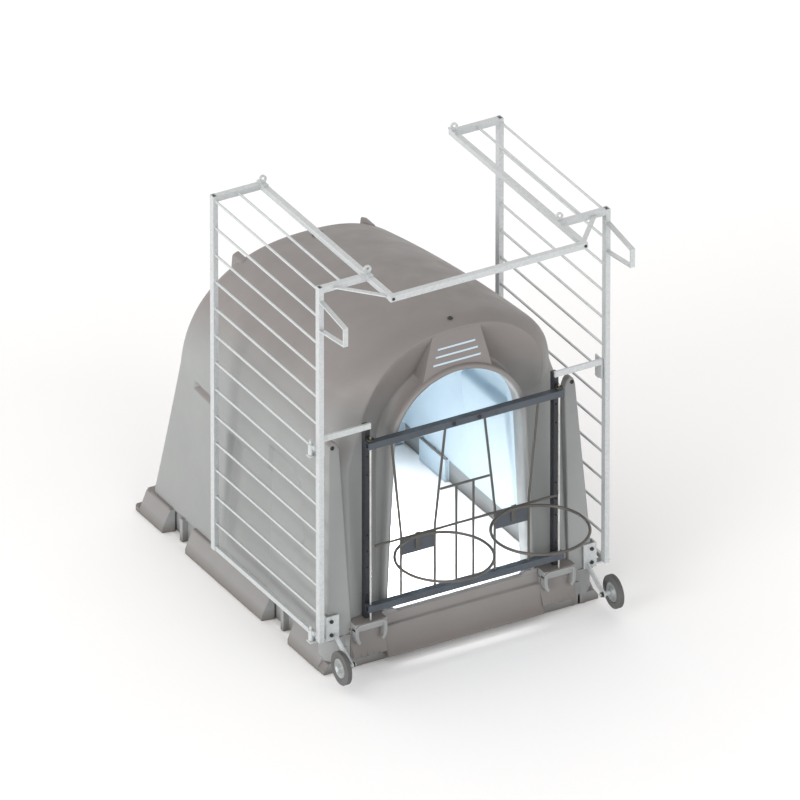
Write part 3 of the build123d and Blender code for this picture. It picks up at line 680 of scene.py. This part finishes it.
def vent_panel():
    """The raised panel above the door; its three slots are filled 2 mm back with blocks in the pale inner
    colour, a painted stand-in for the light seen through them.
    """
    low_depth, lean, back_depth, recess = 0.043, 0.06, 0.075, 0.002
    strips = [(outline, 0.0, SHELL) for outline in vent_outlines()]
    # painted light: pale inner-colour blocks close the slots, standing in for the lit inside seen through
    # them
    for half, z in VENT_SLOTS:
        low, high = z - HALF_SLOT, z + HALF_SLOT
        strips.append(([(-half, low), (half, low), (half, high), (-half, high)], recess, INSIDE))
    pieces = []
    for number, (outline, front, mat) in enumerate(strips):
        verts = []
        for back in (front, back_depth):
            face_y = POST_Y + low_depth
            verts += [Vector((x, face_y + lean * (z - VENT_LOW) + back, z)) for x, z in outline]
        faces = prism_faces(len(outline))
        pieces.append(make_piece(f"vent_{number}", verts, faces, [mat], smooth=False))
    return pieces


def pillar(side):
    """A flat leaning strip with a rounded top, beside the doorway."""
    outline = [(0.470, 0.135), (0.579, 0.135), (0.5365, 0.915), (0.530, 0.940), (0.514, 0.955),
               (0.498, 0.940), (0.488, 0.915)]
    verts = []
    for back in (-PILLAR_PROUD, 0.020):
        verts += [Vector((side * x, POST_Y + front_depth(z) + back, z)) for x, z in outline]
    piece = make_piece("pillar", verts, prism_faces(len(outline)), [SHELL])
    face_outwards(piece)
    return bevelled(piece, 0.006, 4)


def screw(name, place, direction, radius, body):
    """A round screw head with a recess."""
    profile = [(0.0, radius * 0.98), (0.0025, radius), (0.0045, radius * 0.8), (0.0052, radius * 0.45),
               (0.0030, radius * 0.40), (0.0030, 0.0005), (0.0, 0.0005)]
    piece = lathe(name, profile, (0, 0, 0), BOLT, SCREW_STEPS)
    turn = Vector(direction).to_track_quat("X", "Z").to_matrix().to_4x4()
    piece.data.transform(Matrix.Translation(place) @ turn)
    return on_body(piece, body)


# ---------------------------------------------------------------- hutch: the base
def band_outline():
    """Outside of the plinth band in plan, with cut corners, side recesses and their ribs."""
    rear = REAR_Y - (HALF_BASE - BAND_HALF)
    right = [(BAND_HALF - CHAMFER, BASE_FRONT), (BAND_HALF, BASE_FRONT + CHAMFER)]
    for near, far in SIDE_RECESSES:
        middle = (near + far) / 2
        for start, end in ((near, middle - TOOTH_HALF), (middle + TOOTH_HALF, far)):
            right += [(BAND_HALF, POST_Y + start), (RECESS_WALL, POST_Y + start)]
            right += [(RECESS_WALL, POST_Y + end), (BAND_HALF, POST_Y + end)]
    right += [(BAND_HALF, rear - CHAMFER), (BAND_HALF - CHAMFER, rear)]
    return both_sides(right)


def band_hole():
    """Inside of the plinth band in plan, which steps in behind each side recess."""
    wall, inner, margin = 0.019, RECESS_WALL - 0.010, 0.012
    half = BAND_HALF - wall
    right = [(half, BASE_FRONT + BAND_END_WALL)]
    for near, far in SIDE_RECESSES:
        near, far = POST_Y + near - margin, POST_Y + far + margin
        right += [(half, near), (inner, near), (inner, far), (half, far)]
    right.append((half, REAR_Y - (HALF_BASE - BAND_HALF) - BAND_END_WALL))
    return both_sides(right)


def pale_inside(piece):
    """Gives the faces that look into the hutch the colour of the inner layer."""
    piece.data.materials.append(INSIDE)
    for polygon in piece.data.polygons:
        centre, normal = polygon.center, polygon.normal
        inwards = normal.x * centre.x + normal.y * (centre.y - (BASE_FRONT + REAR_Y) / 2) < 0
        if inwards and abs(centre.x) < BAND_HALF - 0.018 and abs(normal.z) < 0.5:
            polygon.material_index = 1


def lean_front_end(run, front):
    """Turns the front end of a foot stretch a little outwards, as the mould's draft does."""
    for vertex in run.data.vertices:
        if abs(vertex.co.y - front) < 1e-5:
            vertex.co.y -= END_LEAN * (HALF_BASE - abs(vertex.co.x)) / (HALF_BASE - FLANGE_INNER)


def hutch_base():
    """The plinth band and the flange that slopes out round its foot."""
    pieces = [plan_piece("band", [band_outline(), band_hole()], (0, BAND_TOP), SHELL, 0.004)]
    pale_inside(pieces[0])
    outer, high = HALF_BASE, BAND_TOP - 0.003
    flange = [(FLANGE_INNER, 0.0), (outer, 0.0), (outer, FLANGE_TOP), (FLANGE_FACE, high),
              (FLANGE_INNER, high)]
    starts = [BASE_FRONT + CHAMFER] + [POST_Y + far for _, far in SIDE_RECESSES]
    stops = [POST_Y + near for near, _ in SIDE_RECESSES] + [REAR_Y - CHAMFER]
    for _, side in SIDES:
        for stretch in zip(starts, stops):
            run = front_prism("flange", on_side(flange, side), stretch, SHELL)
            lean_front_end(run, stretch[0])
            pieces.append(run)
        for x0, x1 in ((0.0, REAR_NOTCH[0]), (REAR_NOTCH[1], outer - CHAMFER)):
            profile = [(REAR_Y - (outer - x), z) for x, z in flange]
            pieces.append(side_prism("flange_rear", profile, (side * x0, side * x1), SHELL))
        corner = [(outer - 0.06, REAR_Y - CHAMFER), (outer, REAR_Y - CHAMFER), (outer, REAR_Y - 0.012),
                  (outer - 0.012, REAR_Y), (outer - CHAMFER, REAR_Y), (outer - 0.06, REAR_Y - 0.05)]
        pieces.append(plan_piece("flange_corner", [on_side(corner, side)], (0, FLANGE_TOP), SHELL))
        pieces += front_corner(side)
    return joined("hutch_foot", pieces)


def front_corner(side):
    """The fluted corner block beside the sill beam, standing on the ground."""
    flutes = ((0.484, 0.0), (0.505, 0.010), (0.520, 0.002), (0.540, 0.002), (0.556, 0.010), (0.570, 0.024))
    flute_line, block_top = BASE_FRONT - 0.004, 0.150
    front = [(x, flute_line + back) for x, back in flutes]
    outline = front + [(0.584, BASE_FRONT + 0.042), (0.584, BASE_FRONT + 0.07), (0.484, BASE_FRONT + 0.07)]
    block = plan_piece("corner_block", [on_side(outline, side)], (0.0, block_top), SHELL)
    foot = [(0.505, 0.0), (0.598, 0.0), (0.598, 0.018), (0.580, 0.045), (0.505, 0.045)]
    toe = front_prism("corner_toe", on_side(foot, side), (BASE_FRONT, BASE_FRONT + 0.05), SHELL)
    return [block, toe]


def sill_beam():
    """The beam across the front: an upper sill, a groove, and a lower face that bulges out to a lip."""
    beam = [(BEAM_BACK, 0.026), (-0.028, 0.026), (-0.030, 0.031), (-0.028, 0.037), (-0.014, 0.053),
            (-0.005, 0.078), (0.001, 0.108), (0.004, 0.134), (0.008, 0.142), (0.017, 0.145),
            (0.021, 0.152), (0.025, 0.181), (0.029, 0.185), (BEAM_BACK, 0.185)]
    end = [(BEAM_BACK, 0.052), (-0.020, 0.052), (-0.022, 0.058), (-0.010, 0.090), (0.003, 0.122),
           (0.011, SHELF_LOW), (BEAM_BACK, SHELF_LOW)]
    rise = [(0.262, 0.176), (0.270, 0.186), (0.286, SHELF_TOP), (BEAM_HALF, SHELF_TOP), (BEAM_HALF, 0.176)]
    rib = [(-0.026, 0.056), (-0.010, 0.056), (0.004, 0.098), (-0.004, 0.098)]
    first_rib, rib_gap, rib_count, rib_half = 0.372, 0.026, 4, 0.003
    pieces = [side_prism("beam", behind_posts(beam), (-BEAM_HALF, BEAM_HALF), BEAM, 0.0025)]
    for _, side in SIDES:
        rise_ends = (POST_Y + 0.026, POST_Y + BEAM_BACK)
        pieces.append(front_prism("beam_rise", on_side(rise, side), rise_ends, BEAM, 0.002))
        end_span = (side * (BEAM_HALF - 0.002), side * BEAM_END_HALF)
        pieces.append(side_prism("beam_end", behind_posts(end), end_span, BEAM, 0.0025))
        pieces += platform(side)
        for number in range(rib_count):
            x = side * (first_rib + rib_gap * number)
            rib_span = (x - rib_half, x + rib_half)
            pieces.append(side_prism("beam_rib", behind_posts(rib), rib_span, BEAM, 0.0012))
    return joined("sill_beam", pieces)


def platform(side):
    """A shelf under a gate post, with a socket for the rod and a lip like an upside-down U in front."""
    x0, x1 = PLATFORM
    lip_front, lip_back = POST_Y - 0.026, POST_Y - 0.020
    rod_x, rod_y = side * (ROD_LOW.x + ROD_HIGH.x) / 2, (ROD_LOW.y + ROD_HIGH.y) / 2
    turns = [math.tau * step / 32 for step in range(32)]
    socket = [(rod_x + ROD_SOCKET * math.cos(turn), rod_y + ROD_SOCKET * math.sin(turn)) for turn in turns]
    corners = ((x0, lip_back), (x1, lip_back), (x1, POST_Y + BEAM_BACK), (x0, POST_Y + BEAM_BACK))
    shelf = [on_side(corners, side), socket]
    pieces = [plan_piece("shelf", shelf, (SHELF_LOW, SHELF_TOP), SHELL, 0.0012)]
    thick, radius, corner_steps = 0.013, 0.022, 6
    corner_x, corner_z = x0 + radius, SHELF_TOP - 0.001 - radius
    outer_foot = [(x0 + 0.016, 0.112), (x0 + 0.006, 0.124), (x0, 0.146)]
    inner_foot = [(x0 + 0.024, 0.122), (x0 + 0.017, 0.132), (x0 + thick, 0.150)]
    halves = []
    for foot, bend in ((outer_foot, radius), (inner_foot, radius - thick)):
        half = list(foot)
        for step in range(corner_steps + 1):
            angle = math.pi / 2 * step / corner_steps
            half.append((corner_x - bend * math.cos(angle), corner_z + bend * math.sin(angle)))
        halves.append(half + [(x0 + x1 - x, z) for x, z in reversed(half)])
    lip = halves[0] + halves[1][::-1]
    pieces.append(front_prism("lip", on_side(lip, side), (lip_front, lip_back + 0.001), SHELL, 0.002))
    leg = outer_foot + [(x0, 0.180), (x0 + thick, 0.180)] + inner_foot[::-1]
    for outline in (leg, [(x0 + x1 - x, z) for x, z in leg]):
        leg_ends = (lip_back, POST_Y + 0.006)
        pieces.append(front_prism("lip_leg", on_side(outline, side), leg_ends, SHELL, 0.002))
    return pieces


def rear_lugs():
    """Two small moulded lugs on the back edge of the roof, and a moulded loop on each side wall."""
    pieces = []
    for _, side in SIDES:
        lug = on_side([(0.255, 1.060), (0.300, 1.060), (0.294, 1.134), (0.266, 1.146)], side)
        pieces.append(front_prism("rear_lug", lug, (POST_Y + 1.185, POST_Y + 1.262), SHELL, 0.008))
        thick, out, ring_radius = 0.005, 0.012, 0.014
        turns = [math.tau * step / 12 for step in range(12)]
        profile = [(out + thick * math.cos(turn), ring_radius + thick * math.sin(turn)) for turn in turns]
        loop = lathe("side_loop", profile, (0, 0, 0), SHELL, LOOP_STEPS)
        place = Matrix.Translation((side * 0.500, POST_Y + 0.935, 0.662))
        loop.data.transform(place @ Matrix.Scale(side, 4))
        pieces.append(loop)
    return joined("hutch_lugs", pieces)


hutch_skin()
for moulded in (hutch_base(), sill_beam(), rear_lugs(), joined("vent_panel", vent_panel()),
                joined("pillars", [pillar(side) for _, side in SIDES])):
    on_body(moulded, "hutch")
pillar_screw_x, pillar_screw_z = 0.520, 0.93
rail_middle = (GATE_RAIL_LOW.z + GATE_RAIL_HIGH.z) / 2
for label, side in SIDES:
    pillar_face = POST_Y + front_depth(pillar_screw_z) - PILLAR_PROUD
    pillar_spot = (side * pillar_screw_x, pillar_face, pillar_screw_z)
    screw(f"pillar_screw_{label}", pillar_spot, (0, -1, 0.09), 0.0085, "hutch")
    screw(f"rail_bolt_{label}", (side * 0.055, GATE_RAIL_LOW.y, rail_middle), (0, -1, 0), 0.0095, "gate")
screw("roof_screw", (0, POST_Y + 0.101, 1.3405), (0, 0, 1), 0.011, "hutch")


# ---------------------------------------------------------------- wheels
def wheel(label):
    """Solid rubber tyre with tread grooves on a cast rim with a domed hub."""
    low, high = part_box(f"wheel_tyre_{label}")
    centre = (low + high) / 2
    radius, half = (high.z - low.z) / 2, (high.x - low.x) / 2
    groove = 0.0018
    tread = []
    for x in (-0.0075, -0.0025, 0.0025, 0.0075):
        tread += [(x - 0.0012, radius - 0.0004), (x - 0.0006, radius - groove),
                  (x + 0.0006, radius - groove), (x + 0.0012, radius - 0.0004)]
    shoulder = [(half - 0.0025, radius - 0.004), (half, radius - 0.012), (half - 0.0015, radius - 0.020),
                (half - 0.0005, 0.042), (half - 0.003, 0.040)]
    left = [(-x, r) for x, r in reversed(shoulder)]
    tyre = lathe(f"tyre_{label}", left + tread + shoulder, centre, RUBBER, TYRE_STEPS)
    on_body(tyre, f"wheel_{label}", f"wheel_tyre_{label}")
    face = [(0.009, 0.0405), (0.0105, 0.037), (0.0095, 0.034), (0.005, 0.031), (0.0045, 0.021),
            (0.0085, 0.0175), (0.0150, 0.0150), (0.0155, 0.0125), (0.0155, 0.0061)]
    back = [(-x, r) for x, r in reversed(face)]
    hub = lathe(f"hub_{label}", face + back, centre, HUB, HUB_STEPS)
    on_body(hub, f"wheel_{label}", f"wheel_hub_{label}")


for label, _ in SIDES:
    wheel(label)


# ---------------------------------------------------------------- materials on the CAD nodes
for side_name, _ in SIDES:
    assign(ZINC, *(f"{part}_{side_name}" for part in (
        "top_arm", "upper_bracket", "lower_bracket", "wheel_arm", "fence_front_post", "fence_rear_post",
        "roof_arms", "lifting_eyes", "fence_rods", "fence_foot_rail", "long_member", "bow_handle")))
    assign(POST, f"gate_post_{side_name}")
    assign(SLATE, f"bucket_plate_{side_name}")
    assign(BAR, f"bucket_ring_{side_name}", f"ring_hook_{side_name}")
    assign(ZINC, f"wheel_axle_{side_name}")
assign(YELLOW, "eye_bolts")
assign(ZINC, "cross_bar", "ladder_rods", "corner_braces", "cage_pins", "axle_spacers")
assign(SLATE, "gate_top_rail", "gate_bottom_rail")
assign(BAR, "gate_outer_bars", "gate_inner_bars", "gate_centre_bars", "gate_long_bar", "gate_short_bar")
assign(BRIGHT, "hinge_rod", "lock_rod")
assign(BOLT, "cross_bar_bolts", "bracket_bolts", "axle_nuts")
assign(BLACK, "post_caps", "roof_plug")


# ---------------------------------------------------------------- floor, light and camera
def studio_floor():
    """A white floor, a millimetre under the model."""
    size = 30.0
    corners = [(-size, -size, 0), (size, -size, 0), (size, size, 0), (-size, size, 0)]
    mat, shader = new_material("studio_floor", (0.97, 0.97, 0.97), 0.9)
    shade = ramp(mat, noise(mat, 0.4), [(0.3, (0.965, 0.965, 0.965)), (0.7, (0.98, 0.98, 0.98))])
    link(mat, shade, shader.inputs["Base Color"])
    floor = make_piece("studio_floor", [Vector(c) for c in corners], [(0, 1, 2, 3)], [mat], smooth=False)
    floor.location.z = -0.001


def aim(light, place, target):
    """Puts a light in its place and turns it to a target."""
    light.location = place
    light.rotation_mode = "QUATERNION"
    light.rotation_quaternion = (Vector(target) - Vector(place)).to_track_quat("-Z", "Y")
    bpy.context.scene.collection.objects.link(light)


def soft_sun(name, place, strength, degrees, color):
    """An even, very soft light from one direction, as from a large diffuser."""
    data = bpy.data.lights.new(name, "SUN")
    data.energy, data.angle, data.color = strength, math.radians(degrees), color
    aim(bpy.data.objects.new(name, data), place, (0, 0, 0.6))


def glow_light(name, place, size, power):
    """A soft light under the roof, for the daylight that the pale shell lets through to its floor."""
    data = bpy.data.lights.new(name, "AREA")
    data.shape = "RECTANGLE"
    data.energy, data.spread = power, math.radians(50)
    data.size, data.size_y = size
    aim(bpy.data.objects.new(name, data), place, (place[0], place[1], 0))


def studio_world():
    """A soft dome: bright low on the left and behind, dimmer in front, on the right and overhead."""
    world = bpy.data.worlds.new("studio")
    world.use_nodes = True
    parts = add(world, "ShaderNodeSeparateXYZ")
    link(world, add(world, "ShaderNodeTexCoord").outputs["Generated"], parts.inputs["Vector"])
    sky = ramp(world, parts.outputs["Z"], [(0.10, (1.0, 1.0, 1.0)), (0.75, (0.70, 0.68, 0.67))])
    level = add(world, "ShaderNodeMath")
    level.operation = "MULTIPLY"
    link(world, mapped(world, parts.outputs["X"], (-1.0, 1.0), (1.36, 0.96)), level.inputs[0])
    link(world, mapped(world, parts.outputs["Y"], (-1.0, 1.0), (0.70, 1.35)), level.inputs[1])
    background = world.node_tree.nodes["Background"]
    link(world, sky, background.inputs["Color"])
    link(world, level.outputs["Value"], background.inputs["Strength"])
    bpy.context.scene.world = world


def studio_camera():
    """A long lens from the front left and above."""
    azimuth, elevation = math.radians(-29.5), math.radians(29.4)
    pixels_per_metre, frame_width, distance = 264.4, 800, 120.0
    back = Vector((
        math.sin(azimuth) * math.cos(elevation), -math.cos(azimuth) * math.cos(elevation), math.sin(elevation)
    ))
    turn = (-back).to_track_quat("-Z", "Y")
    right, up = turn @ Vector((1, 0, 0)), turn @ Vector((0, 1, 0))
    picture_right, picture_up = -0.2383, 0.7663
    foot = Vector((0, POST_Y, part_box("fence_front_post_left")[0].z))
    offset = right * picture_right + up * picture_up
    data = bpy.data.cameras.new("camera")
    data.sensor_width = 36.0
    data.lens = pixels_per_metre * distance * data.sensor_width / frame_width
    data.clip_start, data.clip_end = 10.0, 400.0
    camera = bpy.data.objects.new("camera", data)
    camera.rotation_mode = "QUATERNION"
    camera.rotation_quaternion = turn
    camera.location = foot + offset + back * distance
    bpy.context.scene.collection.objects.link(camera)
    bpy.context.scene.camera = camera


studio_floor()
studio_world()
soft_sun("key", (-6.5, -2.2, 1.3), 2.35, 40, (1.0, 1.0, 0.99))
soft_sun("front", (1.0, -6.0, 2.0), 1.15, 60, (0.94, 0.97, 1.0))
glow_light("inside_glow", (0, POST_Y + 0.70, 1.00), (0.7, 0.9), 11)
bpy.context.scene.view_settings.view_transform = "Standard"
studio_camera()
